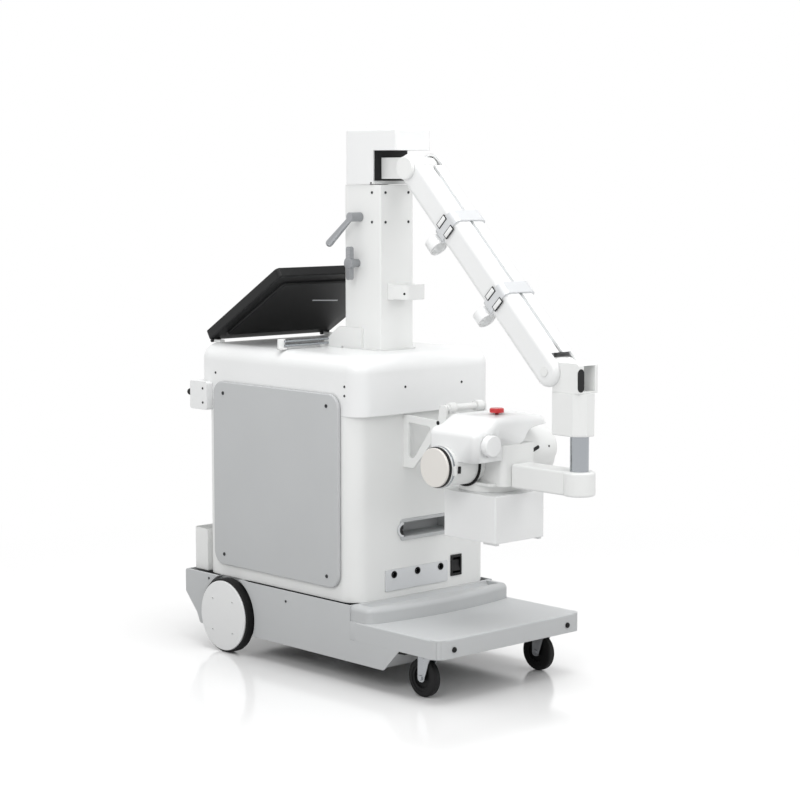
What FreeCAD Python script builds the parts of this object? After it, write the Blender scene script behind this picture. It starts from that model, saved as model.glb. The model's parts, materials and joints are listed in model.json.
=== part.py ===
"""Mobile x-ray machine: wheeled cabinet, column, balanced arm and tube head.

Millimetres. The front faces -Y, the operator stands at +Y, the floor is Z = 0.
Y is measured from the cabinet's front face while modelling, and every piece is
shifted at the end so that the origin lies on the floor below the box centre.
"""
import FreeCAD
import Part
import math
import os

V = FreeCAD.Vector
X_AXIS = V(1, 0, 0)
Y_AXIS = V(0, 1, 0)
Z_AXIS = V(0, 0, 1)

# Fits between pieces
running_gap = 0.05
face_gap = 0.3

# Cabinet and its cover
cabinet_half_width = 300.0
cabinet_depth = 767.0
cabinet_bottom = 251.0
cover_bottom = 845.0
cover_top = 1035.0
cover_overhang = 20.0
cover_nose = 38.0
cover_nose_height = 122.0
corner_radius = 60.0
cover_edge_radius = 52.0
sheet_wall = 4.0

# Side panels
panel_front = 61.0
panel_rear = 700.0
panel_bottom = 292.0
panel_top = 913.0
panel_corner = 45.0
panel_thickness = 11.0
seal_thickness = 3.0
seal_inset = 4.0
panel_screw_inset = 55.0

# Base
base_half_width = 318.6
base_rear = 859.0
skirt_bottom = 70.0
skirt_wall = 5.0
deck_front = -404.0
deck_bottom = 142.0
deck_top = 202.0
deck_corner = 28.0
arch_foot = -157.0
arch_head = -228.0
sill_bow = 120.0
sill_end = 83.0
sill_roll_radius = 17.0
sill_corner = 26.0
gutter_radius = 30.0
rail_centre = 235.0
rail_width = 40.0
rail_height = 40.0

# Wheels
wheel_radius = 125.0
wheel_y = 617.6
wheel_face = 345.7
tyre_width = 34.0
tyre_depth = 21.0
hub_cover_radius = 118.0
hub_cover_thickness = 5.7
axle_radius = 12.5
well_gap = 12.0
caster_x = 256.0
caster_y = -277.0
caster_trail = 28.0
caster_radius = 61.0
caster_width = 26.0
fork_wall = 3.5

# Column and turret
column_half_width = 72.3
column_front = 125.4
column_depth = 173.4
column_top = 1570.0
column_wall = 6.0
turret_half_width = 76.3
turret_front = 45.0
turret_rear = 293.0
turret_bottom = 1572.0
turret_top = 1752.0
notch_rear = 156.0
notch_top = 1680.0
spindle_radius = 30.0

# Balanced arm
shoulder_y = 13.0
shoulder_z = 1623.0
elbow_y = -591.0
elbow_z = 1016.0
arm_half_width = 62.0
arm_half_depth = 47.0
arm_groove = 14.0
groove_depth = 7.0
cheek_inner = 43.0
pin_radius = 14.0
boss_radius = 37.0
boss_thickness = 12.0

# Post and wrist
post_half_width = 47.0
post_front = -722.0
post_rear = -602.0
post_bottom = 827.0
post_top = 956.0
rod_y = -679.0
rod_radius = 28.5
rod_grip = 110.0
wrist_top = 720.0
wrist_bottom = 646.0
wrist_boss_radius = 49.0
wrist_rear = -432.6
roll_z = 683.0
roll_spindle_radius = 20.0

# Tube head
tube_y = -291.0
tube_z = 712.0
tube_radius = 62.0
tube_left = -215.0
tube_right = 250.0
head_front = -432.2
turn_y = -305.0
turntable_radius = 100.0
collimator_half_width = 108.0
collimator_front = -435.0
collimator_rear = -165.0
collimator_top = 625.0
collimator_bottom = 478.0
pedestal_bottom = 650.0
cover_peak = 862.0

# Monitor
monitor_half_width = 270.0
monitor_length = 448.0
monitor_thickness = 32.0
monitor_tilt = 31.0
hinge_y = 772.0
hinge_z = 1040.0

machine_front = rod_y - wrist_boss_radius
handle_y = 853.0
handle_radius = 14.0
machine_rear = handle_y + handle_radius + 3.0
shift = -(machine_front + machine_rear) / 2.0

parts = {}


def box(x0, x1, y0, y1, z0, z1):
    """A block between three pairs of limits."""
    return Part.makeBox(x1 - x0, y1 - y0, z1 - z0, V(x0, y0, z0))


def rod(radius, start, axis, length):
    """A round bar from a start point along an axis."""
    return Part.makeCylinder(radius, length, start, axis)


def tube(outer, inner, start, axis, length):
    """A round bar with a round hole along it."""
    return rod(outer, start, axis, length).cut(rod(inner, start, axis, length))


def outline(points, plane, level):
    """A flat face through corner points (a, b, radius), each corner rounded by its radius."""
    def put(spot):
        if plane == "XY":
            return V(spot[0], spot[1], level)
        if plane == "YZ":
            return V(level, spot[0], spot[1])
        return V(spot[0], level, spot[1])

    corners = []
    count = len(points)
    for index in range(count):
        a, b, radius = points[index]
        here = V(a, b, 0)
        before = V(points[index - 1][0], points[index - 1][1], 0).sub(here).normalize()
        after = V(points[(index + 1) % count][0], points[(index + 1) % count][1], 0).sub(here).normalize()
        if radius == 0:
            corners.append((here, here, here, 0))
            continue
        half = before.getAngle(after) / 2.0
        reach = radius / math.tan(half)
        middle = (before + after).normalize()
        bulge = here + middle * (radius / math.sin(half) - radius)
        corners.append((here + before * reach, bulge, here + after * reach, radius))
    edges = []
    for index in range(count):
        start, bulge, end, radius = corners[index]
        following = corners[(index + 1) % count][0]
        if radius:
            edges.append(Part.Arc(put(start), put(bulge), put(end)).toShape())
        if end.distanceToPoint(following) > 1e-6:
            edges.append(Part.LineSegment(put(end), put(following)).toShape())
    return Part.Face(Part.Wire(edges))


def slab(points, plane, low, high):
    """An outline given thickness along the normal of its plane."""
    direction = {"XY": Z_AXIS, "YZ": X_AXIS, "XZ": Y_AXIS}[plane]
    return outline(points, plane, low).extrude(direction * (high - low))


def rounded_box(x0, x1, y0, y1, z0, z1, radius):
    """A block whose upright edges are rounded."""
    points = [(x0, y0, radius), (x1, y0, radius), (x1, y1, radius), (x0, y1, radius)]
    return slab(points, "XY", z0, z1)


def soften(shape, radius, chosen):
    """Round the edges for which chosen(edge) is true."""
    edges = [edge for edge in shape.Edges if chosen(edge)]
    return shape.makeFillet(radius, edges)


def flat_at(edge, axis, level):
    """Whether an edge lies wholly in the plane where a coordinate has one value."""
    low = getattr(edge.BoundBox, axis + "Min")
    high = getattr(edge.BoundBox, axis + "Max")
    return abs(low - level) < 0.01 and abs(high - level) < 0.01


def mirrored(shape):
    """The same piece on the other side of the machine."""
    return shape.mirror(V(0, 0, 0), X_AXIS)


def racetrack(start, end, radius, x0, x1):
    """A bar with round ends between two points (y, z), from x0 to x1."""
    along = V(0, end[0] - start[0], end[1] - start[1])
    side = V(0, -along.z, along.y).normalize() * radius
    tip = V(along).normalize() * radius
    first = V(x0, start[0], start[1])
    second = V(x0, end[0], end[1])
    edges = [
        Part.LineSegment(first + side, second + side).toShape(),
        Part.Arc(second + side, second + tip, second - side).toShape(),
        Part.LineSegment(second - side, first - side).toShape(),
        Part.Arc(first - side, first - tip, first + side).toShape(),
    ]
    return Part.Face(Part.Wire(edges)).extrude(X_AXIS * (x1 - x0))


def screw(centre, direction, radius, height):
    """A domed screw head with a hexagon recess."""
    head = rod(radius, centre, direction, height)
    rim = [edge for edge in head.Edges if abs((edge.BoundBox.Center - centre).dot(direction) - height) < 0.01]
    head = head.makeFillet(height * 0.4, rim)
    return head.cut(rod(radius * 0.45, centre + direction * (height * 0.5), direction, height))


def keep(name, *shapes):
    """File one or more solids under a node's name."""
    parts.setdefault(name, []).extend(shapes)


# Base: rails, skirt, deck, sill and bumpers
rail_bottom = deck_top - sheet_wall - rail_height
rail_top = rail_bottom + rail_height


def make_chassis():
    """Two long rails and four cross bars, welded."""
    left_edge = rail_centre - rail_width / 2
    right_edge = rail_centre + rail_width / 2
    rail = box(left_edge, right_edge, deck_front + 20, base_rear - 30, rail_bottom, rail_top)
    frame = rail.fuse(mirrored(rail))
    for y in (deck_front + 20, -40.0, 330.0, base_rear - 70):
        frame = frame.fuse(box(-left_edge, left_edge, y, y + rail_width, rail_bottom, rail_top))
    carrier = box(left_edge, right_edge, wheel_y - 28, wheel_y + 28, wheel_radius - 28, rail_bottom)
    carrier = carrier.cut(rod(axle_radius + running_gap, V(0, wheel_y, wheel_radius), X_AXIS, base_half_width))
    frame = frame.fuse(carrier).fuse(mirrored(carrier))
    keep("chassis_frame", frame.removeSplitter())


def make_skirt():
    """Bent sheet skirt with a round well for each drive wheel."""
    side = [
        (base_rear, cabinet_bottom, 10), (base_rear, 172, 12), (base_rear - 63, 105, 12),
        (base_rear - 80, skirt_bottom, 14), (arch_foot, skirt_bottom, 10), (arch_head, deck_bottom, 0),
        (0, deck_bottom, 0), (0, cabinet_bottom, 0),
    ]
    wall = skirt_wall
    inside = [
        (base_rear - wall, cabinet_bottom + 20, 0), (base_rear - wall, 174, 10),
        (base_rear - 63 - wall, 107, 10), (base_rear - 84 - wall, skirt_bottom - 9, 0),
        (arch_foot + 6, skirt_bottom - 9, 0), (arch_head + 14, deck_bottom - wall, 0),
        (wall, deck_bottom - wall, 0), (wall, cabinet_bottom + 20, 0),
    ]
    skirt = slab(side, "YZ", -base_half_width, base_half_width)
    skirt = skirt.cut(slab(inside, "YZ", -base_half_width + wall, base_half_width - wall))
    rail_edge = rail_centre + rail_width / 2
    skirt = skirt.cut(box(-rail_edge, rail_edge, -1, wall + 1, rail_bottom, rail_top))
    well = wheel_radius + well_gap
    depth = wheel_face - tyre_width - 20
    for direction in (-1, 1):
        start = V(direction * depth, wheel_y, wheel_radius)
        axis = X_AXIS * direction
        outer = rod(well + 3, start, axis, base_half_width - depth)
        outer = outer.common(box(-400, 400, 0, 800, skirt_bottom, cabinet_bottom))
        skirt = skirt.fuse(outer).cut(rod(well, start + axis * 3, axis, 60))
        skirt = skirt.cut(rod(axle_radius + 4, start - axis * 5, axis, 60))
    corner = [edge for edge in skirt.Edges
              if flat_at(edge, "Y", base_rear) and abs(abs(edge.BoundBox.Center.x) - base_half_width) < 0.1]
    if corner:
        skirt = skirt.makeFillet(3.0, corner)
    keep("base_skirt", skirt)


def make_deck():
    """Folded steel platform over the casters, open below."""
    deck = rounded_box(-base_half_width, base_half_width, deck_front, 0, deck_bottom, deck_top, deck_corner)
    deck = soften(deck, 6.0, lambda edge: flat_at(edge, "Z", deck_top))
    wall = sheet_wall
    hollow = box(-base_half_width + wall, base_half_width - wall, deck_front + wall, 1,
                 deck_bottom - 1, deck_top - wall)
    keep("platform_deck", deck.cut(hollow))


def make_sill():
    """Bowed sill in front of the cabinet with a rolled lip and a gutter behind it."""
    ends = base_half_width - 4
    bow_radius = (ends ** 2 + (sill_bow - sill_end) ** 2) / (2 * (sill_bow - sill_end))
    tall = cabinet_bottom - deck_top
    sill = box(-ends, ends, -sill_bow - 1, 0, deck_top, cabinet_bottom)
    sill = sill.common(rod(bow_radius, V(0, bow_radius - sill_bow, deck_top), Z_AXIS, tall))
    sill = soften(sill, sill_corner, lambda edge: abs(edge.BoundBox.ZLength - tall) < 0.01
                  and edge.BoundBox.YMax < -1)
    sill = soften(sill, sill_roll_radius, lambda edge: flat_at(edge, "Z", cabinet_bottom)
                  and not flat_at(edge, "Y", 0))
    gutter = rod(gutter_radius, V(-ends + 30, -gutter_radius - 6, cabinet_bottom + 8), X_AXIS, 2 * ends - 60)
    keep("front_sill", sill.cut(gutter))


def make_bumpers():
    """Two round rubber bumpers on the deck's front edge."""
    for x in (-253.0, 253.0):
        foot = rod(8.5, V(x, deck_front, 168), Y_AXIS * -1, 5)
        keep("rubber_trims", soften(foot, 2.0, lambda edge: flat_at(edge, "Y", deck_front - 5)))


def make_wheels():
    """Driven rear wheels: solid tyre, dished hub with a flat cover, and the axle."""
    centre = V(0, wheel_y, wheel_radius)
    inner_face = wheel_face - hub_cover_thickness - tyre_width
    rim = wheel_radius - tyre_depth
    start = centre + X_AXIS * inner_face
    tyre = tube(wheel_radius, rim, start, X_AXIS, tyre_width)
    tyre = soften(tyre, 4.0, lambda edge: edge.BoundBox.ZLength > 2 * wheel_radius - 1)
    cover = rod(hub_cover_radius, centre + X_AXIS * (wheel_face - hub_cover_thickness), X_AXIS, hub_cover_thickness)
    cover = soften(cover, 2.0, lambda edge: flat_at(edge, "X", wheel_face))
    drum = tube(rim, rim - 7, start, X_AXIS, tyre_width)
    web = rod(rim - 3, start + X_AXIS * (tyre_width / 2), X_AXIS, 8)
    boss = rod(24, start, X_AXIS, tyre_width)
    hub = cover.fuse(drum).fuse(web).fuse(boss)
    for index in range(5):
        angle = math.radians(72 * index + 18)
        spot = centre + V(inner_face, 62 * math.cos(angle), 62 * math.sin(angle))
        hub = hub.cut(rod(19, spot, X_AXIS, tyre_width - 1))
    hub = hub.cut(rod(axle_radius, start - X_AXIS, X_AXIS, tyre_width + 1))
    axle = rod(axle_radius, centre + X_AXIS * 206, X_AXIS, inner_face + tyre_width - 206)
    screws = []
    for index in range(4):
        angle = math.radians(90 * index + 45)
        spot = centre + V(wheel_face, 75 * math.cos(angle), 75 * math.sin(angle))
        screws.append(screw(spot, X_AXIS, 4.0, 1.6))
    for side in ("right", "left"):
        turn = (lambda shape: shape) if side == "right" else mirrored
        keep("wheel_tyre_" + side, turn(tyre))
        keep("wheel_hub_" + side, turn(hub), *[turn(item) for item in screws])
        keep("wheel_hub_" + side, turn(axle))


def make_casters():
    """Front swivel casters: bearing housing, pressed fork and rubber wheel."""
    swivel_y = caster_y - caster_trail
    crown_bottom = 2 * caster_radius + 3
    housing_bottom = deck_bottom - 8
    for side, x in (("left", -caster_x), ("right", caster_x)):
        pivot = V(x, swivel_y, 0)
        plate = box(x - 45, x + 45, swivel_y - 40, swivel_y + 40, deck_bottom, rail_bottom)
        housing = rod(27, pivot + Z_AXIS * housing_bottom, Z_AXIS, deck_bottom - housing_bottom)
        mount = plate.fuse(housing)
        mount = mount.cut(rod(12 + running_gap, pivot + Z_AXIS * (housing_bottom - 1), Z_AXIS, 30))
        keep("chassis_frame", mount)
        half = caster_width / 2 + face_gap + 1
        crown_top = housing_bottom - face_gap
        crown = rod(26, pivot + Z_AXIS * crown_bottom, Z_AXIS, crown_top - crown_bottom)
        crown = crown.fuse(rod(12, pivot + Z_AXIS * crown_bottom, Z_AXIS, rail_bottom - crown_bottom - 1))
        bridge = box(x - half - fork_wall, x + half + fork_wall, swivel_y - 12, caster_y + 8,
                     crown_bottom, crown_top)
        fork = crown.fuse(bridge)
        leg_shape = [
            (swivel_y - 14, crown_top, 3), (caster_y + 12, crown_top, 3), (caster_y + 13, caster_radius - 13, 12),
            (caster_y - 13, caster_radius - 13, 12),
        ]
        for direction in (-1, 1):
            low = x + direction * half
            leg = slab(leg_shape, "YZ", min(low, low + direction * fork_wall), max(low, low + direction * fork_wall))
            fork = fork.fuse(leg)
        bolt_length = 2 * (half + fork_wall) + 6
        fork = fork.fuse(rod(6, V(x - bolt_length / 2, caster_y, caster_radius), X_AXIS, bolt_length))
        for direction in (-1, 1):
            nut = rod(8.5, V(x + direction * (half + fork_wall), caster_y, caster_radius), X_AXIS * direction, 4)
            fork = fork.fuse(nut)
        keep("caster_fork_" + side, fork.removeSplitter())
        start = V(x - caster_width / 2, caster_y, caster_radius)
        tyre = tube(caster_radius, 44, start, X_AXIS, caster_width)
        tyre = soften(tyre, 7.0, lambda edge: edge.BoundBox.ZLength > 2 * caster_radius - 1)
        hub = tube(44, 34, start + X_AXIS * 2, X_AXIS, caster_width - 4)
        hub = hub.fuse(tube(35, 12, start + X_AXIS * (caster_width / 2 - 3), X_AXIS, 6))
        hub = hub.fuse(tube(13, 6 + running_gap, start, X_AXIS, caster_width))
        keep("caster_wheel_" + side, tyre)
        keep("caster_wheel_" + side, hub.removeSplitter())


# Cabinet: shell, cover, panels, pocket and fittings
pocket_left = -95.0
pocket_right = 150.0
pocket_low = 440.0
pocket_high = 494.0
pocket_depth = 90.0
connector_left = -168.0
connector_right = 108.0
connector_low = 274.0
connector_high = 342.0
switch_left = 124.0
switch_right = 172.0
switch_low = 287.0
switch_high = 356.0


def make_cabinet():
    """White sheet cabinet, open at top and bottom, pierced for pocket and connectors."""
    half = cabinet_half_width
    wall = sheet_wall
    shell = rounded_box(-half, half, 0, cabinet_depth, cabinet_bottom, cover_bottom, corner_radius)
    inner = rounded_box(-half + wall, half - wall, wall, cabinet_depth - wall,
                        cabinet_bottom - 1, cover_bottom + 1, corner_radius - wall)
    shell = shell.cut(inner)
    shell = shell.cut(box(pocket_left, pocket_right, -1, wall + 1, pocket_low, pocket_high))
    shell = shell.cut(box(connector_left, connector_right, -1, wall + 1, connector_low, connector_high))
    shell = shell.cut(box(switch_left, switch_right, -1, wall + 1, switch_low, switch_high))
    keep("cabinet_shell", shell)


def make_top_cover():
    """Moulded cover with big soft edges, a front overhang and a rear nose."""
    half = cabinet_half_width
    wall = sheet_wall
    rear = cabinet_depth + cover_nose
    cover = rounded_box(-half, half, -cover_overhang, rear, cover_bottom, cover_top, corner_radius)
    cover = soften(cover, cover_edge_radius, lambda edge: flat_at(edge, "Z", cover_top))
    under = [
        (cabinet_depth, cover_bottom - 1, 0), (cabinet_depth, cover_bottom, 0),
        (rear, cover_bottom + cover_nose_height, 0), (rear + 40, cover_bottom + cover_nose_height, 0),
        (rear + 40, cover_bottom - 1, 0),
    ]
    cover = cover.cut(slab(under, "YZ", -half - 1, half + 1))
    inner = rounded_box(-half + wall, half - wall, -cover_overhang + wall, cabinet_depth - wall,
                        cover_bottom + wall, cover_top - wall, corner_radius - wall)
    inner = soften(inner, cover_edge_radius - wall, lambda edge: flat_at(edge, "Z", cover_top - wall))
    mouth = rounded_box(-half + wall, half - wall, wall, cabinet_depth - wall,
                        cover_bottom - 1, cover_bottom + wall + 1, corner_radius - wall)
    cover = cover.cut(inner).cut(mouth)
    neck = box(-column_half_width + column_wall, column_half_width - column_wall,
               column_front + column_wall, column_front + column_depth - column_wall,
               cover_top - 3 * wall, cover_top + 1)
    keep("top_cover", cover.cut(neck))


def make_panels():
    """Grey side panels on dark seals, one screw near each corner."""
    half = cabinet_half_width
    seal_outline = [
        (panel_front + seal_inset, panel_bottom + seal_inset, panel_corner - seal_inset),
        (panel_rear - seal_inset, panel_bottom + seal_inset, panel_corner - seal_inset),
        (panel_rear - seal_inset, panel_top - seal_inset, panel_corner - seal_inset),
        (panel_front + seal_inset, panel_top - seal_inset, panel_corner - seal_inset),
    ]
    panel_outline = [
        (panel_front, panel_bottom, panel_corner), (panel_rear, panel_bottom, panel_corner),
        (panel_rear, panel_top, panel_corner), (panel_front, panel_top, panel_corner),
    ]
    seal = slab(seal_outline, "YZ", half, half + seal_thickness)
    outer = half + seal_thickness + panel_thickness
    panel = slab(panel_outline, "YZ", half + seal_thickness, outer)
    panel = soften(panel, 4.0, lambda edge: flat_at(edge, "X", outer))
    screws = []
    for y in (panel_front + panel_screw_inset, panel_rear - panel_screw_inset):
        for z in (panel_bottom + panel_screw_inset * 0.65, panel_top - panel_screw_inset * 0.7):
            screws.append(screw(V(outer, y, z), X_AXIS, 6.0, 2.0))
    for side in ("right", "left"):
        turn = (lambda shape: shape) if side == "right" else mirrored
        keep("side_panels", turn(panel))
        keep("rubber_trims", turn(seal))
        keep("cabinet_screws", *[turn(item) for item in screws])


def make_pocket():
    """Dark liner of the detector slot, a tray open to the front."""
    wall = 3.0
    outer = box(pocket_left, pocket_right, 0, pocket_depth, pocket_low, pocket_high)
    inner = box(pocket_left + wall, pocket_right - wall, -5, pocket_depth - wall, pocket_low + wall, pocket_high - wall)
    rim_points = [
        (pocket_left - 8, pocket_low - 8, 10), (pocket_right + 8, pocket_low - 8, 10),
        (pocket_right + 8, pocket_high + 8, 10), (pocket_left - 8, pocket_high + 8, 10),
    ]
    rim = slab(rim_points, "XZ", -4, 0)
    keep("detector_pocket", outer.fuse(rim).cut(inner))


def make_connectors():
    """Connector plate with three sockets, and the mains switch frame beside it."""
    plate = slab([
        (connector_left, connector_low, 6), (connector_right, connector_low, 6),
        (connector_right, connector_high, 6), (connector_left, connector_high, 6),
    ], "XZ", -3, 6)
    for x in (-131.0, -28.0, 76.0):
        plate = plate.cut(rod(11.6, V(x, -4, 326), Y_AXIS, 20))
    keep("connector_plate", plate)
    for x in (-131.0, -28.0, 76.0):
        shell = tube(11.5, 8.5, V(x, -5, 326), Y_AXIS, 24)
        keep("sockets", shell.fuse(rod(9, V(x, 11, 326), Y_AXIS, 8)))
    frame = box(switch_left, switch_right, -4, 20, switch_low, switch_high)
    frame = frame.cut(box(switch_left + 6, switch_right - 6, -5, 14, switch_low + 8, switch_high - 8))
    keep("sockets", frame)


rocker_y = 3.0
rocker_z = (switch_low + switch_high) / 2


def make_rocker():
    """Rocker of the mains switch, turning on its own short pin."""
    depth = 8.0
    tall = (switch_high - switch_low) / 2 - 8 - 2.5
    points = [
        (rocker_y - depth, rocker_z - tall, 2), (rocker_y + depth * 0.4, rocker_z - tall * 0.6, 2),
        (rocker_y + depth * 0.9, rocker_z, 3), (rocker_y + depth * 0.4, rocker_z + tall * 0.6, 2),
        (rocker_y - depth * 0.2, rocker_z + tall, 2), (rocker_y - depth * 0.2, rocker_z, 0),
    ]
    rocker = slab(points, "YZ", switch_left + 6.6, switch_right - 6.6)
    keep("mains_rocker", rocker)


def make_cradle():
    """Docking cradle: two triangular cheeks with a window and a bar for the head to park on."""
    front = -190.0
    low = 671.0
    high = cover_bottom - 2
    for x in (-85.0, 85.0):
        cheek = slab([
            (0, low, 4), (-48, low, 10), (front - 8, high - 12, 14), (front - 8, high + 42, 14),
            (front + 22, high + 42, 10), (front + 30, high - 10, 4), (0, high - 2, 0),
        ], "YZ", x - 4, x + 4)
        window = slab([
            (-26, low + 30, 6), (-52, low + 34, 8), (front + 58, high - 32, 8), (-26, high - 26, 6),
        ], "YZ", x - 5, x + 5)
        keep("dock_cradle", cheek.cut(window))
    bar = rod(11, V(-81, front + 1, 874), X_AXIS, 162)
    keep("dock_cradle", bar)
    for x in (-60.0, 60.0):
        pad = tube(17, 11, V(x - 14, front + 1, 874), X_AXIS, 28)
        keep("dock_cradle", pad)


def make_rear():
    """Rear accessory bin, handle brackets and the push handle."""
    wall = 3.0
    rear = cabinet_depth
    bin_box = rounded_box(-cabinet_half_width + 10, cabinet_half_width - 10, rear - 20, rear + 79,
                          cabinet_bottom, 395, 16)
    bin_box = bin_box.cut(box(-400, 400, rear - 40, rear, 0, 500))
    hollow = rounded_box(-cabinet_half_width + 10 + wall, cabinet_half_width - 10 - wall, rear - 20,
                         rear + 79 - wall, cabinet_bottom + wall, 400, 14)
    hollow = hollow.cut(box(-400, 400, rear - 40, rear + wall, 0, 500))
    keep("rear_bin", bin_box.cut(hollow))
    bracket_front = 719.0
    bracket_rear = 812.0
    for direction in (-1, 1):
        low = min(direction * 270, direction * 325)
        high = max(direction * 270, direction * 325)
        block = box(low, high, bracket_front, bracket_rear, 812, 907)
        block = soften(block, 8.0, lambda edge: edge.BoundBox.XLength > 50)
        inside = rounded_box(-cabinet_half_width, cabinet_half_width, -cover_overhang, cabinet_depth,
                             cabinet_bottom, cover_bottom, corner_radius)
        nose = rounded_box(-cabinet_half_width, cabinet_half_width, -cover_overhang, cabinet_depth + cover_nose,
                           cover_bottom, cover_top, corner_radius)
        block = block.cut(inside).cut(nose)
        keep("handle_brackets", block)
    reach = handle_y - bracket_rear
    bend = 26.0
    half = 306.0
    points = [
        V(-half, bracket_rear, 864), V(-half, handle_y - bend, 864), V(-half + bend, handle_y, 864),
        V(half - bend, handle_y, 864), V(half, handle_y - bend, 864), V(half, bracket_rear, 864),
    ]
    lean = bend * (1 - math.sqrt(0.5))
    path = Part.Wire([
        Part.LineSegment(points[0], points[1]).toShape(),
        Part.Arc(points[1], V(-half + lean, handle_y - lean, 864), points[2]).toShape(),
        Part.LineSegment(points[2], points[3]).toShape(),
        Part.Arc(points[3], V(half - lean, handle_y - lean, 864), points[4]).toShape(),
        Part.LineSegment(points[4], points[5]).toShape(),
    ])
    profile = Part.Wire([Part.Circle(points[0], Y_AXIS, handle_radius - 3).toShape()])
    keep("push_handle", path.makePipeShell([profile], True, False))
    sleeve = tube(handle_radius + 3, handle_radius - 3, V(-half + bend + 20, handle_y, 864), X_AXIS,
                  2 * (half - bend - 20))
    keep("push_handle", sleeve)


def make_inside():
    """Batteries, generator, drive motors, electronics and the post that carries the column."""
    floor = rail_top
    tray = box(-rail_centre - 50, rail_centre + 50, 20, 700, floor, floor + 3)
    keep("chassis_frame", tray)
    for low, high in ((-270, -90), (90, 270)):
        pack = box(low, high, 40, 330, floor + 3, floor + 190)
        keep("battery_packs", soften(pack, 6.0, lambda edge: edge.BoundBox.ZLength > 100))
    tank = box(-190, 190, 370, 660, floor + 3, floor + 360)
    keep("xray_generator", soften(tank, 10.0, lambda edge: edge.BoundBox.ZLength > 100))
    shelf_z = 600.0
    shelf = box(-cabinet_half_width + sheet_wall, cabinet_half_width - sheet_wall, 340, 700,
                shelf_z, shelf_z + 4)
    keep("chassis_frame", shelf)
    rack = box(-180, 180, 380, 640, shelf_z + 4, shelf_z + 170)
    keep("control_electronics", soften(rack, 5.0, lambda edge: edge.BoundBox.ZLength > 100))
    wall = column_wall
    base = box(-column_half_width + wall, column_half_width - wall, column_front + wall,
               column_front + column_depth - wall, floor + 3, cover_top)
    hollow = box(-column_half_width + 2 * wall, column_half_width - 2 * wall, column_front + 2 * wall,
                 column_front + column_depth - 2 * wall, floor + 15, cover_top - 12)
    keep("chassis_frame", base.cut(hollow))
    for direction in (-1, 1):
        axis = X_AXIS * direction
        start = V(direction * 70, wheel_y, wheel_radius)
        motor = rod(40, start, axis, 90).fuse(rod(46, start + axis * 90, axis, 40))
        mount = box(min(direction * 200, direction * 215), max(direction * 200, direction * 215),
                    wheel_y - 48, wheel_y + 48, wheel_radius - 46, rail_top)
        motor = motor.fuse(mount).cut(rod(axle_radius + running_gap, start + axis * 100, axis, 60))
        keep("drive_motors", motor)


def make_column():
    """Extruded column with its foot flange, cap plate and swivel spindle."""
    half = column_half_width
    rear = column_front + column_depth
    wall = column_wall
    column = rounded_box(-half, half, column_front, rear, cover_top, column_top, 5)
    hollow = rounded_box(-half + wall, half - wall, column_front + wall, rear - wall,
                         cover_top - 1, column_top - 14, 3)
    column = column.cut(hollow)
    axis_y = column_front + column_depth / 2
    column = column.cut(rod(spindle_radius, V(0, axis_y, column_top - 20), Z_AXIS, 30))
    keep("column", column)
    flange = rounded_box(-half - 9, half + 9, column_front - 9, rear + 9, cover_top, cover_top + 5, 12)
    flange = flange.cut(rounded_box(-half, half, column_front, rear, cover_top - 1, cover_top + 6, 5))
    keep("column", flange)
    spindle = rod(spindle_radius, V(0, axis_y, column_top - 14), Z_AXIS, 70)
    keep("column", spindle)
    for x in (-half + 22, half - 22):
        for z in (1545.0, 1450.0):
            keep("cabinet_screws", screw(V(x, column_front, z), Y_AXIS * -1, 4.5, 1.8))
    for z in (1545.0, 1450.0):
        for side in (-1, 1):
            keep("cabinet_screws", screw(V(side * half, column_front + 40, z), X_AXIS * side, 4.5, 1.8))


def make_column_fittings():
    """Cable holder, horn cleat, clamp knob and monitor gusset on the column."""
    half = column_half_width
    mount = box(-42, 42, 97, column_front, 1199, 1253)
    keep("cable_holder", mount)
    holder = slab([(-42, 35, 20), (42, 35, 8), (42, 97, 0), (-42, 97, 0)], "XY", 1202, 1250)
    holder = holder.cut(box(-20, 50, 50, 84, 1201, 1251))
    keep("cable_holder", holder)
    foot_y = 235.0
    foot_z = 1316.0
    stem = rod(13, V(-half, foot_y, foot_z), X_AXIS * -1, 26)
    keep("column_fittings", stem)
    horns = racetrack((foot_y, foot_z - 45), (foot_y, foot_z + 45), 9, -half - 44, -half - 26)
    horns = horns.fuse(rod(19, V(-half - 26, foot_y, foot_z), X_AXIS * -1, 18))
    keep("column_fittings", horns.removeSplitter())
    hub = rod(17, V(half, 222, 1466), X_AXIS, 24)
    keep("column_fittings", soften(hub, 4.0, lambda edge: flat_at(edge, "X", half + 24)))
    flange_rear = column_front + column_depth + 9
    gusset = slab([
        (209, cover_top + 5, 0), (flange_rear, cover_top + 5, 0), (flange_rear, cover_top, 0), (417, cover_top, 0),
        (405, cover_top + 10, 4), (318, cover_top + 71, 8), (209, cover_top + 71, 6),
    ], "YZ", -half - 9, -half)
    keep("monitor_hinges", gusset)


lever_y = 222.0
lever_z = 1466.0
lever_rise = 34.0


def make_lever():
    """Ratchet clamp lever on the column's side."""
    half = column_half_width
    stud = rod(8, V(-half, lever_y, lever_z), X_AXIS * -1, 30)
    keep("column_fittings", stud)
    hub = tube(15, 8 + running_gap, V(-half - face_gap, lever_y, lever_z), X_AXIS * -1, 28)
    cap = rod(15, V(-half - 28.3, lever_y, lever_z), X_AXIS * -1, 20)
    start = V(-half - 38, lever_y, lever_z)
    end = V(-half - 50, lever_y + 96, lever_z - 86)
    along = end - start
    grip = Part.makeCone(9, 12.5, along.Length, start, along)
    knob = Part.makeSphere(12.5, end)
    lever = hub.fuse(cap).fuse(grip).fuse(knob)
    lever = lever.cut(rod(8 + running_gap, V(-half, lever_y, lever_z), X_AXIS * -1, 31))
    keep("clamp_lever", lever.removeSplitter())


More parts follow.
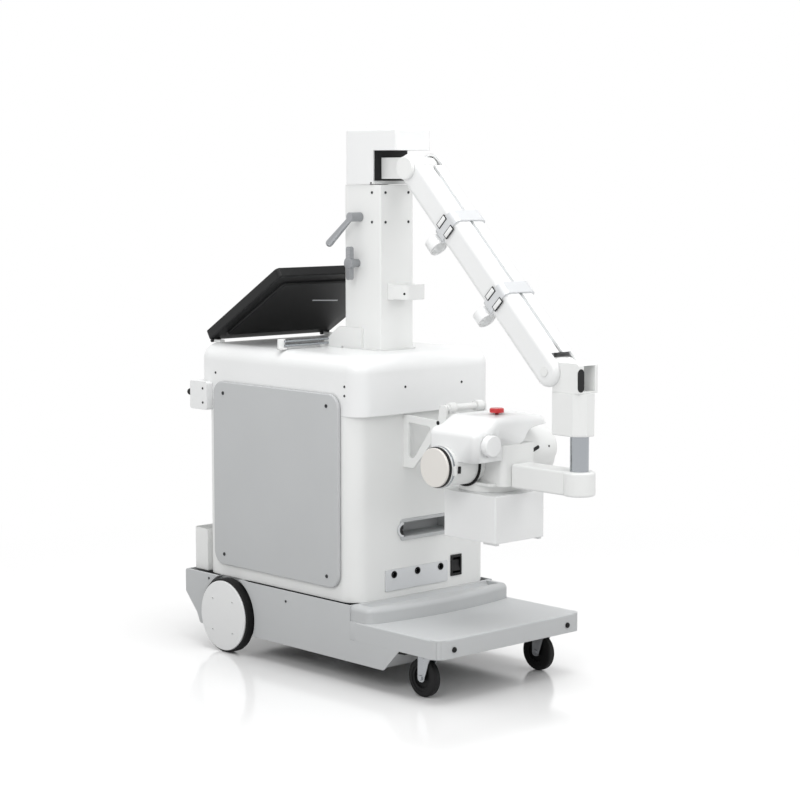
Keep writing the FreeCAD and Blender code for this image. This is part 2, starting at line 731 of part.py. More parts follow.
def make_turret():
    """Turret on the column: hollow cap with a front notch, and the shoulder block in it."""
    half = turret_half_width
    wall = sheet_wall
    cap = rounded_box(-half, half, turret_front, turret_rear, turret_bottom, turret_top, 12)
    cap = soften(cap, 11.0, lambda edge: flat_at(edge, "Z", turret_top))
    notch = box(-half - 1, half + 1, turret_front - 1, notch_rear, turret_bottom - 1, notch_top)
    cap = cap.cut(notch)
    hollow = box(-half + wall, half - wall, notch_rear + wall, turret_rear - wall,
                 turret_bottom + 8, turret_top - wall - 8)
    hollow = hollow.fuse(box(-half + wall, half - wall, turret_front + wall, turret_rear - wall,
                             notch_top + wall, turret_top - wall - 8))
    cap = cap.cut(hollow.removeSplitter())
    axis_y = column_front + column_depth / 2
    cap = cap.cut(rod(spindle_radius + running_gap, V(0, axis_y, turret_bottom - 1), Z_AXIS, 20))
    keep("turret_cap", cap)
    block = slab([
        (notch_rear, shoulder_z - 34, 0), (shoulder_y, shoulder_z - 34, 0),
        (shoulder_y, shoulder_z + 34, 0), (notch_rear, shoulder_z + 34, 0),
    ], "YZ", -cheek_inner + 0.5, cheek_inner - 0.5)
    block = block.fuse(rod(34, V(-cheek_inner + 0.5, shoulder_y, shoulder_z), X_AXIS, 2 * cheek_inner - 1))
    pin_hole = rod(pin_radius, V(-80, shoulder_y, shoulder_z), X_AXIS, 160)
    keep("shoulder_block", block.cut(pin_hole).removeSplitter())
    reach = arm_half_width + boss_thickness + face_gap
    pin = rod(pin_radius, V(-reach, shoulder_y, shoulder_z), X_AXIS, 2 * reach)
    for direction in (-1, 1):
        start = V(direction * (arm_half_width + face_gap), shoulder_y, shoulder_z)
        disc = rod(boss_radius, start, X_AXIS * direction, boss_thickness)
        outer = direction * reach
        disc = soften(disc, 3.0, lambda edge: flat_at(edge, "X", outer))
        pin = pin.fuse(disc)
    keep("shoulder_block", pin.removeSplitter())
    bearing = tube(52, spindle_radius + running_gap, V(0, axis_y, turret_bottom + 8), Z_AXIS, 34)
    keep("turret_bearing", bearing)


def make_arm():
    """Balanced arm: two moulded half shells on a spine, with a groove between them."""
    start = (shoulder_y, shoulder_z)
    end = (elbow_y, elbow_z)
    groove = arm_groove / 2
    for side in ("right", "left"):
        shell = racetrack(start, end, arm_half_depth, groove, arm_half_width)
        shell = soften(shell, 20.0, lambda edge: flat_at(edge, "X", arm_half_width))
        inner = racetrack(start, end, arm_half_depth - 9, groove - 1, arm_half_width - 6)
        shell = shell.cut(inner)
        for y, z in (start, end):
            shell = shell.cut(rod(arm_half_depth + 10, V(groove - 1, y, z), X_AXIS, cheek_inner - groove + 1))
            shell = shell.fuse(tube(26, pin_radius + running_gap, V(cheek_inner, y, z), X_AXIS,
                                    arm_half_width - cheek_inner))
            shell = shell.cut(rod(pin_radius + running_gap, V(0, y, z), X_AXIS, 80))
        if side == "left":
            shell = mirrored(shell)
        keep("arm_shell_" + side, shell.removeSplitter())
    length = math.hypot(end[0] - start[0], end[1] - start[1])
    unit = ((end[0] - start[0]) / length, (end[1] - start[1]) / length)
    trim = arm_half_depth + 10 + 2
    low = (start[0] + unit[0] * (trim + 30), start[1] + unit[1] * (trim + 30))
    high = (end[0] - unit[0] * (trim + 30), end[1] - unit[1] * (trim + 30))
    spine = racetrack(low, high, arm_half_depth - groove_depth, -groove, groove)
    keep("arm_spine", spine)
    keep("arm_spine", *make_spring(low, high))


def make_spring(low, high):
    """Gas spring lying in each half shell, which carries the weight of the head."""
    solids = []
    along = V(0, high[0] - low[0], high[1] - low[1])
    for x in (-30.0, 30.0):
        begin = V(x, low[0], low[1])
        unit = V(along).normalize()
        barrel = rod(14, begin, unit, along.Length * 0.55)
        stem = rod(6, begin + unit * (along.Length * 0.55), unit, along.Length * 0.45)
        foot = box(min(x, 0) + 7 * (x > 0), max(x, 0) - 7 * (x < 0), low[0] - 8, low[0] + 8, low[1] - 8, low[1] + 8)
        solids.append(barrel.fuse(stem).fuse(foot).removeSplitter())
    return solids


def along_arm(distance, offset):
    """A point (y, z) at a distance from the shoulder down the arm and an offset square to it."""
    length = math.hypot(elbow_y - shoulder_y, elbow_z - shoulder_z)
    unit_y = (elbow_y - shoulder_y) / length
    unit_z = (elbow_z - shoulder_z) / length
    return (shoulder_y + unit_y * distance - unit_z * offset, shoulder_z + unit_z * distance + unit_y * offset)


band_width = 44.0
band_thickness = 5.0
ring_radius = 30.0
ring_length = 36.0
ring_x = -50.0


def make_clips():
    """Two grey bands round the arm, each with a ring below for the cable."""
    length = math.hypot(elbow_y - shoulder_y, elbow_z - shoulder_z)
    for distance in (0.30 * length, 0.655 * length):
        width = band_width
        low = along_arm(distance - width / 2, 0)
        high = along_arm(distance + width / 2, 0)
        along = V(0, high[0] - low[0], high[1] - low[1])
        centre = V(0, low[0], low[1])
        across = V(0, -along.z, along.y).normalize()
        outer = Part.Face(Part.makePolygon([
            centre + X_AXIS * sx * (arm_half_width + band_thickness) + across * sa * (arm_half_depth + band_thickness)
            for sx, sa in ((-1, -1), (1, -1), (1, 1), (-1, 1), (-1, -1))])).extrude(along)
        outer = outer.makeFillet(20.0, [edge for edge in outer.Edges if abs(edge.Length - width) < 0.01])
        inner = racetrack((shoulder_y, shoulder_z), (elbow_y, elbow_z), arm_half_depth, -arm_half_width,
                          arm_half_width)
        inner = soften(inner, 20.0, lambda edge: abs(abs(edge.BoundBox.Center.x) - arm_half_width) < 0.01
                       and edge.BoundBox.XLength < 0.01)
        keep("cable_clip_bands", outer.cut(inner))
        under = V(ring_x, *along_arm(distance, arm_half_depth + band_thickness + ring_radius - 1))
        step = V(along).normalize() * (ring_length / 2)
        ring = tube(ring_radius, ring_radius - 5, under - step, along, ring_length)
        ring = ring.cut(outer)
        keep("cable_clip_rings", ring)


def make_post():
    """Elbow head and post block that stay upright below the arm."""
    centre = V(-cheek_inner + 0.5, elbow_y, elbow_z)
    width = 2 * cheek_inner - 1
    head = rod(arm_half_depth - 6, centre, X_AXIS, width)
    neck = slab([
        (elbow_y, elbow_z + 30, 0), (post_front + 12, elbow_z + 30, 10), (post_front + 12, post_top, 0),
        (post_rear - 4, post_top, 0), (post_rear - 4, elbow_z - 20, 0), (elbow_y, elbow_z - 20, 0),
    ], "YZ", -cheek_inner + 0.5, cheek_inner - 0.5)
    head = head.fuse(neck)
    hollow = box(-18, 30, post_front + 5, post_front + 62, post_top + 6, elbow_z + 22)
    head = head.cut(hollow)
    head = head.cut(rod(pin_radius, V(-80, elbow_y, elbow_z), X_AXIS, 160))
    keep("elbow_head", head.removeSplitter())
    half = post_half_width
    front_chamfer = 30.0
    block = slab([
        (-half, post_front + front_chamfer, 3), (-half + front_chamfer, post_front, 3),
        (half - front_chamfer, post_front, 3), (half, post_front + front_chamfer, 3),
        (half, post_rear - 8, 3), (half - 8, post_rear, 3), (-half + 8, post_rear, 3), (-half, post_rear - 8, 3),
    ], "XY", post_bottom, post_top)
    block = soften(block, 4.0, lambda edge: flat_at(edge, "Z", post_bottom))
    block = block.cut(rod(rod_radius + running_gap, V(0, rod_y, post_bottom - 1), Z_AXIS, rod_grip + 2))
    keep("post_block", block)
    reach = arm_half_width + 3
    pin = rod(pin_radius, V(-reach, elbow_y, elbow_z), X_AXIS, 2 * reach)
    keep("elbow_head", pin)
    keep("post_block", screw(V(half - 15, post_front + 15, post_top - 24), V(1, -1, 0).normalize(), 4.0, 1.5))


def make_wrist():
    """Chrome rod, its set collar and the short wrist arm that carries the head."""
    keep("wrist_shafts", rod(rod_radius, V(0, rod_y, wrist_bottom + 8), Z_AXIS,
                             post_bottom + rod_grip - wrist_bottom - 8))
    width = 40.0
    arm = slab([
        (-width, rod_y, 0), (-width, wrist_rear, 8), (width, wrist_rear, 8), (width, rod_y, 0),
    ], "XY", wrist_bottom, wrist_top)
    arm = arm.fuse(rod(wrist_boss_radius, V(0, rod_y, wrist_bottom), Z_AXIS, wrist_top - wrist_bottom))
    arm = arm.removeSplitter()
    arm = soften(arm, 7.0, lambda edge: flat_at(edge, "Z", wrist_top) or flat_at(edge, "Z", wrist_bottom))
    arm = arm.cut(rod(rod_radius, V(0, rod_y, wrist_bottom + 8), Z_AXIS, 100))
    arm = arm.cut(rod(roll_spindle_radius, V(0, wrist_rear - 60, roll_z), Y_AXIS, 61))
    keep("wrist_arm", arm)
    keep("wrist_shafts", rod(roll_spindle_radius, V(0, wrist_rear - 60, roll_z), Y_AXIS, 120))


knob_x = -128.0
knob_z = 783.0
knob_radius = 33.0
knob_front = -447.0
knob_rear = -372.0
button_y = -332.0


def make_head():
    """Tube head: pedestal casting, tube housing, end cap and moulded cover."""
    left = tube_left
    housing = rod(tube_radius, V(left, tube_y, tube_z), X_AXIS, tube_right - left)
    housing = soften(housing, 10.0, lambda edge: flat_at(edge, "X", tube_right))
    cavity = rod(tube_radius - 5, V(left - 1, tube_y, tube_z), X_AXIS, tube_right - left - 14)
    full_housing = housing
    for x in (95.0, 205.0):
        slot = racetrack((tube_y - 47, tube_z + 30), (tube_y - 54, tube_z + 12), 6, x - 7, x + 7)
        housing = housing.cut(slot)
    keep("tube_housing", housing.cut(cavity))
    keep("end_cap_rim", rod(tube_radius + 1.0, V(left - 9, tube_y, tube_z), X_AXIS, 9))
    disc = rod(tube_radius - 1.5, V(left - 17, tube_y, tube_z), X_AXIS, 8)
    keep("end_cap", soften(disc, 2.5, lambda edge: flat_at(edge, "X", left - 17)))
    neck = tube(tube_radius + 3, tube_radius, V(left, tube_y, tube_z), X_AXIS, 16)
    keep("tube_housing", neck)
    latch = box(left + 3, left + 13, tube_y - tube_radius - 9, tube_y - tube_radius - 2, tube_z - 20, tube_z + 8)
    keep("tube_housing", latch)
    insert = rod(44, V(left + 25, tube_y, tube_z), X_AXIS, 360)
    insert = insert.fuse(tube(57, 44, V(left + 60, tube_y, tube_z), X_AXIS, 20))
    insert = insert.fuse(tube(57, 44, V(left + 320, tube_y, tube_z), X_AXIS, 20))
    keep("xray_tube", insert.removeSplitter())

    foot = rounded_box(-96, 96, turn_y - 96, turn_y + 96, pedestal_bottom, pedestal_bottom + 9, 14)
    stem = rounded_box(-72, 72, head_front, turn_y + 84, pedestal_bottom, tube_z + 66, 18)
    casting = foot.fuse(stem)
    casting = casting.cut(full_housing)
    casting = casting.cut(rod(roll_spindle_radius + running_gap, V(0, head_front - 1, roll_z), Y_AXIS, 66))

    low = tube_z + 20
    cover = slab([
        (-186, low, 0), (142, low, 0), (142, cover_peak - 34, 16), (118, cover_peak, 24), (-92, cover_peak, 40),
        (-136, cover_peak - 26, 30), (-186, cover_peak - 34, 26),
    ], "XZ", -424, -216)
    front_rear = [edge for edge in cover.Edges
                  if (flat_at(edge, "Y", -424) or flat_at(edge, "Y", -216)) and edge.BoundBox.ZMax > low + 1]
    cover = cover.makeFillet(22.0, [edge for edge in front_rear if edge.BoundBox.ZMin > low - 0.01
                                    and not flat_at(edge, "Z", low)])
    cover = cover.cut(full_housing).cut(rounded_box(-72, 72, head_front, turn_y + 84, pedestal_bottom,
                                                    tube_z + 66, 18))
    cover = cover.cut(rod(knob_radius + face_gap, V(knob_x, knob_front - 1, knob_z), Y_AXIS,
                          knob_rear - knob_front + 1 + face_gap))
    cover = cover.cut(rod(8 + running_gap, V(knob_x, knob_rear - 1, knob_z), Y_AXIS, 40))
    cover = cover.cut(rod(6 + running_gap, V(0, button_y, cover_peak - 30), Z_AXIS, 40))
    solids = sorted(cover.Solids, key=lambda solid: -solid.Volume)
    keep("head_cover", solids[0])

    knob = rod(knob_radius, V(knob_x, knob_front, knob_z), Y_AXIS, knob_rear - knob_front)
    knob = soften(knob, 4.0, lambda edge: flat_at(edge, "Y", knob_front))
    keep("roll_lock_knob", knob.fuse(rod(8, V(knob_x, knob_rear, knob_z), Y_AXIS, 34)).removeSplitter())

    button = rod(22.7, V(0, button_y, cover_peak + 6), Z_AXIS, 14)
    button = soften(button, 5.0, lambda edge: flat_at(edge, "Z", cover_peak + 20))
    keep("release_button", button.fuse(rod(6, V(0, button_y, cover_peak - 22), Z_AXIS, 30)).removeSplitter())
    ring = tube(turntable_radius - 3, 70, V(0, turn_y, collimator_top + 3), Z_AXIS,
                pedestal_bottom - collimator_top - 3)
    keep("head_casting", casting.fuse(ring).removeSplitter())


window_half = 45.0


def make_collimator():
    """Collimator box with bottom rails, window and crossed shutters inside."""
    half = collimator_half_width
    points = [
        (-half, collimator_front, 5), (half, collimator_front, 5), (half, collimator_rear, 5),
        (-half + 46, collimator_rear, 5), (-half, collimator_rear - 46, 5),
    ]
    case = slab(points, "XY", collimator_bottom, collimator_top)
    case = soften(case, 3.0, lambda edge: flat_at(edge, "Z", collimator_top))
    hollow = box(-half + 50, half - 8, collimator_front + 8, collimator_rear - 8,
                 collimator_bottom + 8, collimator_top - 8)
    case = case.cut(hollow)
    case = case.cut(box(-window_half, window_half, turn_y - window_half, turn_y + window_half,
                        collimator_bottom - 1, collimator_bottom + 10))
    case = case.cut(rod(50, V(0, turn_y, collimator_top - 10), Z_AXIS, 20))
    collar = tube(turntable_radius, 50, V(0, turn_y, collimator_top), Z_AXIS, 3 - face_gap)
    keep("collimator_case", case.fuse(collar).removeSplitter())
    keep("collimator_window", box(-window_half, window_half, turn_y - window_half, turn_y + window_half,
                                  collimator_bottom, collimator_bottom + 4))
    for x in (-half + 8, half - 20):
        for y in (collimator_front + 4, collimator_rear - 60):
            if x < 0 and y > turn_y:
                continue
            keep("collimator_case", box(x, x + 12, y, y + 56, collimator_bottom - 7, collimator_bottom))
    keep("collimator_case", box(-half + 50, -half + 62, collimator_rear - 60, collimator_rear - 4,
                                collimator_bottom - 7, collimator_bottom))
    level = collimator_bottom + 8
    reach = window_half + 9
    for offset in (-34, 34):
        keep("shutters", box(offset - 20, offset + 20, turn_y - reach, turn_y + reach, level, level + 6))
        keep("shutters", box(-reach, reach, turn_y + offset - 20, turn_y + offset + 20, level + 6, level + 12))


hinge_centre = 245.0
hinge_width = 20.0
hinge_pin = 3.0
lug_thickness = 7.0


def make_monitor():
    """Monitor on two hinges at the cover's rear edge, screen up and to the rear."""
    length = monitor_length
    half = monitor_half_width
    under = hinge_pin + 2.0
    over = under + monitor_thickness
    body = rounded_box(-half, half, -length + under, under, under, over, 14)
    body = soften(body, 5.0, lambda edge: flat_at(edge, "Z", under))
    body = body.cut(box(-half + 16, half - 16, -length + 21, under - 16, over - 3, over + 1))
    glass = box(-half + 16, half - 16, -length + 21, under - 16, over - 3, over - 0.5)
    back = rounded_box(-half + 44, half - 44, -length + 49, under - 44, under - 9, under, 20)
    back = soften(back, 6.0, lambda edge: flat_at(edge, "Z", under - 9))
    for direction in (-1, 1):
        for side in (-1, 1):
            inner = direction * hinge_centre + side * (hinge_width / 2 + face_gap)
            low = min(inner, inner + side * lug_thickness)
            lug = rod(under - 0.4, V(low, 0, 0), X_AXIS, lug_thickness)
            lug = lug.fuse(box(low, low + lug_thickness, -9, under - 0.4, 0, under))
            body = body.fuse(lug)
        body = body.fuse(rod(hinge_pin, V(direction * hinge_centre - hinge_width / 2 - 1, 0, 0), X_AXIS,
                             hinge_width + 2))
    for name, shape in (("monitor_case", body.removeSplitter()), ("monitor_screen", glass), ("monitor_case", back)):
        shape = shape.copy()
        shape.rotate(V(0, 0, 0), X_AXIS, -monitor_tilt)
        shape.translate(V(0, hinge_y, hinge_z))
        keep(name, shape)
    eye = hinge_pin + 1.6
    for direction in (-1, 1):
        low = direction * hinge_centre - hinge_width / 2
        bracket = slab([
            (hinge_y - 38, cover_top, 0), (hinge_y, cover_top + 0.4, 0), (hinge_y + eye, hinge_z, 3),
            (hinge_y, hinge_z + eye, 0), (hinge_y - 38, hinge_z + eye, 3),
        ], "YZ", low, low + hinge_width)
        bracket = bracket.cut(rod(hinge_pin + running_gap, V(low - 1, hinge_y, hinge_z), X_AXIS, hinge_width + 2))
        keep("monitor_hinges", bracket)


def save_all():
    """Shift every piece to the part's own frame and write one file per node."""
    os.makedirs("parts", exist_ok=True)
    for name in sorted(parts):
        solids = []
        for shape in parts[name]:
            moved = shape.copy()
            moved.translate(V(0, shift, 0))
            solids.extend(moved.Solids)
        shape = solids[0] if len(solids) == 1 else Part.makeCompound(solids)
        if not shape.isValid():
            print("not valid:", name)
        shape.exportStep("parts/" + name + ".step")
        limits = shape.BoundBox
        print("%-22s %2d  %8.1f %8.1f %8.1f %8.1f %8.1f %8.1f" % (
            name, len(solids), limits.XMin, limits.XMax, limits.YMin, limits.YMax, limits.ZMin, limits.ZMax))


for make in (make_chassis, make_skirt, make_deck, make_sill, make_bumpers, make_wheels, make_casters,
             make_cabinet, make_top_cover, make_panels, make_pocket, make_connectors, make_rocker,
             make_cradle, make_rear, make_inside, make_column, make_column_fittings, make_lever, make_turret,
             make_arm, make_clips, make_post, make_wrist, make_head, make_collimator, make_monitor):
    make()
save_all()
print("shift", shift)
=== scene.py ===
"""Looks of the mobile x-ray machine: finishes, small fittings, floor, light and camera."""

import bpy
import bmesh
import json
import math
from mathutils import Matrix, Vector


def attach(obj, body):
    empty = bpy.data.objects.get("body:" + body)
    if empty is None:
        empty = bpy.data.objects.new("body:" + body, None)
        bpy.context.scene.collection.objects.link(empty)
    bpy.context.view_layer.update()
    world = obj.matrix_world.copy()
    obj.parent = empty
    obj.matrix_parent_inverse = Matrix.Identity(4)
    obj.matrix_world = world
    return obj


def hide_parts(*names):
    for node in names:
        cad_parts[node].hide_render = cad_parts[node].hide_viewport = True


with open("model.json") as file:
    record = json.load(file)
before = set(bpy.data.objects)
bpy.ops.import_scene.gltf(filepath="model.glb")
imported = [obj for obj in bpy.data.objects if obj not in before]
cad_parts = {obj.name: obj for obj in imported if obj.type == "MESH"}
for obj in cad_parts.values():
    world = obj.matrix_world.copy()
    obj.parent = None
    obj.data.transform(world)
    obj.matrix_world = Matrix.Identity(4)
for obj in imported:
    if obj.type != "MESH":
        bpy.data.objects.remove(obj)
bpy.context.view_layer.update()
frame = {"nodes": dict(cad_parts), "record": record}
nodes = frame["nodes"]
scene = bpy.context.scene
mm = 0.001
row_shift = -71.0


def linear(code):
    """Linear red, green, blue and alpha of a hex colour."""
    channels = [int(code[i:i + 2], 16) / 255 for i in (1, 3, 5)]
    curve = [c / 12.92 if c <= 0.04045 else ((c + 0.055) / 1.055) ** 2.4 for c in channels]
    return (*curve, 1.0)


def add(tree, kind, inputs=None, **settings):
    """A new shader or geometry node; an input is a value or another node's socket."""
    node = tree.nodes.new(kind)
    for key, value in settings.items():
        setattr(node, key, value)
    for key, value in (inputs or {}).items():
        if isinstance(value, bpy.types.NodeSocket):
            tree.links.new(value, node.inputs[key])
        else:
            node.inputs[key].default_value = value
    return node


def finish_of(name, colour, roughness, metallic=0.0, grain=700.0, depth=0.05, drift=0.03,
              rough_drift=0.06, stretch=(1.0, 1.0, 1.0), coat=0.0, edge=1.6, shine=0.5, extra=None):
    """A procedural surface: slow drift of tone, uneven gloss and a fine raised grain."""
    material = bpy.data.materials.new(name)
    material.use_nodes = True
    tree = material.node_tree
    shader = tree.nodes["Principled BSDF"]
    place = add(tree, "ShaderNodeTexCoord")
    stretched = add(tree, "ShaderNodeMapping", {"Vector": place.outputs["Object"], "Scale": stretch})
    slow = add(tree, "ShaderNodeTexNoise", {"Vector": place.outputs["Object"], "Scale": 5.0, "Detail": 4.0})
    fine = add(tree, "ShaderNodeTexNoise", {"Vector": stretched.outputs["Vector"], "Scale": grain, "Detail": 3.0})
    tone = linear(colour)
    dark = tuple(c * (1 - drift) for c in tone[:3]) + (1.0,)
    light = tuple(min(1.0, c * (1 + drift)) for c in tone[:3]) + (1.0,)
    blend = add(tree, "ShaderNodeMix", {0: slow.outputs["Fac"], 6: dark, 7: light}, data_type="RGBA")
    gloss = add(tree, "ShaderNodeMapRange", {"Value": fine.outputs["Fac"], "From Min": 0.3, "From Max": 0.7,
                                             "To Min": max(0.02, roughness - rough_drift),
                                             "To Max": roughness + rough_drift})
    rounding = add(tree, "ShaderNodeBevel", {"Radius": edge * mm}, samples=4)
    relief = add(tree, "ShaderNodeBump", {"Height": fine.outputs["Fac"], "Strength": depth, "Distance": 0.001,
                                          "Normal": rounding.outputs["Normal"]})
    colour_out = blend.outputs[2]
    normal_out = relief.outputs["Normal"]
    if extra:
        colour_out, normal_out = extra(tree, place.outputs["Object"], colour_out, normal_out)
    tree.links.new(colour_out, shader.inputs["Base Color"])
    tree.links.new(gloss.outputs["Result"], shader.inputs["Roughness"])
    tree.links.new(normal_out, shader.inputs["Normal"])
    shader.inputs["Base Color"].default_value = tone
    shader.inputs["Roughness"].default_value = roughness
    shader.inputs["Metallic"].default_value = metallic
    shader.inputs["Coat Weight"].default_value = coat
    shader.inputs["Specular IOR Level"].default_value = shine
    shader.inputs["Coat Roughness"].default_value = 0.12
    material.diffuse_color = tone
    return material


# Tread of the tyres
# Ribs run round the tyre and fine cuts cross its face, both only as relief.
def tread(tree, place, colour, normal):
    parts = add(tree, "ShaderNodeSeparateXYZ", {"Vector": place})
    ribs = add(tree, "ShaderNodeMath", {0: parts.outputs["X"], 1: 1250.0}, operation="MULTIPLY")
    wave = add(tree, "ShaderNodeMath", {0: ribs.outputs[0]}, operation="SINE")
    sharp = add(tree, "ShaderNodeMapRange", {"Value": wave.outputs[0], "From Min": -0.9, "From Max": -0.5})
    relief = add(tree, "ShaderNodeBump", {"Height": sharp.outputs["Result"], "Strength": 0.5,
                                          "Distance": 0.0012, "Normal": normal})
    return colour, relief.outputs["Normal"]


# Ring marks of turned metal
# Concentric tool marks show on the wheel hubs' screws, the studs and the latch.
def turned(tree, place, colour, normal):
    marks = add(tree, "ShaderNodeTexWave", {"Vector": place, "Scale": 220.0, "Distortion": 1.5, "Detail": 2.0},
                wave_type="RINGS")
    relief = add(tree, "ShaderNodeBump", {"Height": marks.outputs["Fac"], "Strength": 0.08,
                                          "Distance": 0.0004, "Normal": normal})
    return colour, relief.outputs["Normal"]


# Painted, moulded and metal finishes, one for every material slot of the record
# Each carries its own grain: sheet enamel is smooth, castings are pebbled, rubber is open.
looks = {
    "white_enamel": finish_of("look_white_enamel", "#e7e8e7", 0.40, grain=420, depth=0.05, coat=0.10, edge=4.0),
    "white_casting": finish_of("look_white_casting", "#e5e6e5", 0.43, grain=260, depth=0.10, coat=0.08, edge=3.0),
    "white_moulding": finish_of("look_white_moulding", "#e8e9e9", 0.34, grain=900, depth=0.03, coat=0.12, edge=3.0),
    "grey_enamel": finish_of("look_grey_enamel", "#c0c2c3", 0.48, grain=650, depth=0.12),
    "grey_panel": finish_of("look_grey_panel", "#bcbebf", 0.50, grain=800, depth=0.10),
    "frame_steel": finish_of("look_frame_steel", "#2a2b2c", 0.55, grain=300, depth=0.15),
    "black_rubber": finish_of("look_black_rubber", "#0d0d0e", 0.70, grain=600, depth=0.30, drift=0.10, shine=0.25),
    "black_plastic": finish_of("look_black_plastic", "#0c0d0e", 0.45, grain=1100, depth=0.12, drift=0.06, shine=0.3),
    "tyre_rubber": finish_of("look_tyre_rubber", "#0e0e0f", 0.66, grain=350, depth=0.35, drift=0.12, shine=0.3,
                             extra=tread),
    "screen_glass": finish_of("look_screen_glass", "#0a0c0f", 0.07, grain=40, depth=0.0, rough_drift=0.02, coat=0.6),
    "bare_steel": finish_of("look_bare_steel", "#a4a6a9", 0.32, metallic=1.0, grain=500, depth=0.06,
                            stretch=(1.0, 0.08, 1.0), extra=turned),
    "dark_steel": finish_of("look_dark_steel", "#2e3032", 0.40, metallic=0.5, grain=600, depth=0.05),
    "chrome": finish_of("look_chrome", "#a9adb1", 0.10, metallic=1.0, grain=300, depth=0.01, rough_drift=0.03),
    "clip_aluminium": finish_of("look_clip_aluminium", "#d3d5d7", 0.40, metallic=0.35, grain=900, depth=0.08,
                                stretch=(0.1, 1.0, 1.0)),
    "cap_cream": finish_of("look_cap_cream", "#dedbd6", 0.36, grain=800, depth=0.03, coat=0.12),
    "button_red": finish_of("look_button_red", "#c4161c", 0.28, grain=900, depth=0.02, coat=0.35),
    "battery_case": finish_of("look_battery_case", "#3b4046", 0.45, metallic=0.6, grain=500, depth=0.08),
    "generator_case": finish_of("look_generator_case", "#55585b", 0.50, grain=500, depth=0.12),
}

# Clear window of the collimator
# Thin tinted plastic that lets the shutters show through.
window = finish_of("look_window_plastic", "#cfd9e0", 0.06, grain=60, depth=0.0, rough_drift=0.02, coat=0.3)
window.node_tree.nodes["Principled BSDF"].inputs["Transmission Weight"].default_value = 0.85
window.node_tree.nodes["Principled BSDF"].inputs["IOR"].default_value = 1.49
looks["window_plastic"] = window

for part in frame["record"]["subparts"]:
    node = nodes[part["node"]]
    for place in node.material_slots:
        place.link = "OBJECT"
        place.material = looks[part["material_slot"]]


def at(x, y, z):
    """A point given in millimetres from the cabinet's front face."""
    return Vector((x * mm, (y + row_shift) * mm, z * mm))


def add_mesh(name, shape, slot, body, sharp=35.0):
    """Turns a bmesh into a finished piece that rides on a body."""
    bmesh.ops.recalc_face_normals(shape, faces=shape.faces)
    mesh = bpy.data.meshes.new(name)
    shape.to_mesh(mesh)
    shape.free()
    mesh.materials.append(looks[slot])
    mesh.shade_smooth()
    mesh.set_sharp_from_angle(angle=math.radians(sharp))
    piece = bpy.data.objects.new(name, mesh)
    scene.collection.objects.link(piece)
    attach(piece, body)
    return piece


def turn_to(direction):
    """Rotation that lays +Z along a direction."""
    return direction.to_track_quat("Z", "Y").to_matrix().to_4x4()


def put_rod(shape, start, end, radius, segments=32, tip=None):
    """Adds a rod or a cone from one point to another."""
    axis = end - start
    place = Matrix.Translation((start + end) / 2) @ turn_to(axis)
    bmesh.ops.create_cone(shape, cap_ends=True, segments=segments, radius1=radius,
                          radius2=radius if tip is None else tip, depth=axis.length, matrix=place)


def put_block(shape, centre, size, turn=None, edge=0.0):
    """Adds a box of a size in metres, with softened edges."""
    made = bmesh.ops.create_cube(shape, size=1.0)
    corners = made["verts"]
    bmesh.ops.scale(shape, vec=size, verts=corners)
    if edge:
        edges = list({e for v in corners for e in v.link_edges})
        rounded = bmesh.ops.bevel(shape, geom=edges, offset=edge, segments=3, affect="EDGES", profile=0.5)
        corners = list({v for f in rounded["faces"] for v in f.verts} | {v for v in corners if v.is_valid})
    place = Matrix.Translation(centre) @ (turn or Matrix.Identity(4))
    bmesh.ops.transform(shape, matrix=place, verts=corners)


def put_oblong(shape, start, end, normal, radius, height, segments=16):
    """Adds a flat plate with round ends that stands on a surface."""
    along = (end - start).normalized()
    up = (normal - along * normal.dot(along)).normalized()
    side = up.cross(along)
    rim = []
    for centre, first in ((end, -90), (start, 90)):
        for step in range(segments + 1):
            angle = math.radians(first + 180 * step / segments)
            rim.append(centre + (along * math.cos(angle) + side * math.sin(angle)) * radius)
    low = [shape.verts.new(p - up * height) for p in rim]
    high = [shape.verts.new(p + up * height) for p in rim]
    shape.faces.new(high)
    shape.faces.new(list(reversed(low)))
    for i in range(len(rim)):
        j = (i + 1) % len(rim)
        shape.faces.new((low[i], low[j], high[j], high[i]))


def put_arc(shape, centre, inner, outer, start, end, depth, segments=32):
    """Adds part of a flat ring that faces the front."""
    loops = []
    for step in range(segments + 1):
        turn = math.radians(start + (end - start) * step / segments)
        way = Vector((math.cos(turn), 0, math.sin(turn)))
        loops.append([shape.verts.new(centre + way * reach + Vector((0, y, 0)))
                      for reach, y in ((inner, -depth / 2), (outer, -depth / 2), (outer, depth / 2), (inner, depth / 2))])
    for one, two in zip(loops, loops[1:]):
        for i in range(4):
            j = (i + 1) % 4
            shape.faces.new((one[i], one[j], two[j], two[i]))
    shape.faces.new(loops[0])
    shape.faces.new(list(reversed(loops[-1])))


def put_ring(shape, centre, inner, outer, width, segments=72):
    """Adds a full ring round the tube's axis."""
    loops = []
    for step in range(segments):
        turn = 2 * math.pi * step / segments
        way = Vector((0, math.cos(turn), math.sin(turn)))
        loops.append([shape.verts.new(centre + way * reach + Vector((x, 0, 0)))
                      for reach, x in ((inner, -width / 2), (outer, -width / 2), (outer, width / 2), (inner, width / 2))])
    for k in range(segments):
        one, two = loops[k], loops[(k + 1) % segments]
        for i in range(4):
            j = (i + 1) % 4
            shape.faces.new((one[i], one[j], two[j], two[i]))


